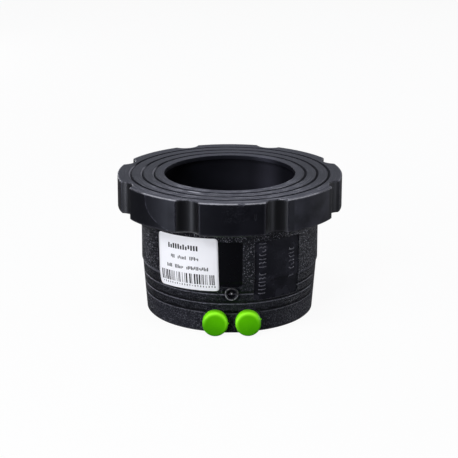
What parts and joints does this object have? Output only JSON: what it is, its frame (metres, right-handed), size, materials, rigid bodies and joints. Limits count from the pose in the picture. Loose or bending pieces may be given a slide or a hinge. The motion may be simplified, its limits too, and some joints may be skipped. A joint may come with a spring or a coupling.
{
  "type": "electrofusion stub flange",
  "caption": "Polyethylene pipe fitting with a notched sealing flange on an electrofusion socket, capped terminals, a fusion indicator and a label.",
  "frame": {"origin": "centre of the socket's end face, at the bottom of the fitting", "axes": "+Z along the pipe axis towards the flange face, -Y the way the two terminals and the fusion indicator look, +X to their right"},
  "size_m": [0.174, 0.174, 0.108],
  "materials": {
    "black_polyethylene": "black moulded polyethylene, spark-eroded texture with smooth panels",
    "resistance_wire": "drawn resistance wire",
    "terminal_brass": "turned brass",
    "cap_plastic": "lime green moulded polyethylene, satin",
    "indicator_plastic": "black moulded polyethylene",
    "label_film": "off-white printed film"
  },
  "bodies": {
    "fitting": {"flange_body": "black_polyethylene", "heating_coil": "resistance_wire", "terminal_pin_left": "terminal_brass", "terminal_pin_right": "terminal_brass", "label": "label_film"},
    "cap_left": {"terminal_cap_left": "cap_plastic"},
    "cap_right": {"terminal_cap_right": "cap_plastic"},
    "indicator": {"fusion_indicator": "indicator_plastic"}
  },
  "joints": [
    {"name": "cap_pull_left", "type": "slide", "parent": "fitting", "child": "cap_left", "axis": [0, -1, 0], "range_m": [0, 0.045]},
    {"name": "cap_pull_right", "type": "slide", "parent": "fitting", "child": "cap_right", "axis": [0, -1, 0], "range_m": [0, 0.045]},
    {"name": "indicator_rise", "type": "slide", "parent": "fitting", "child": "indicator", "axis": [0, -1, 0], "range_m": [0, 0.0026]}
  ]
}
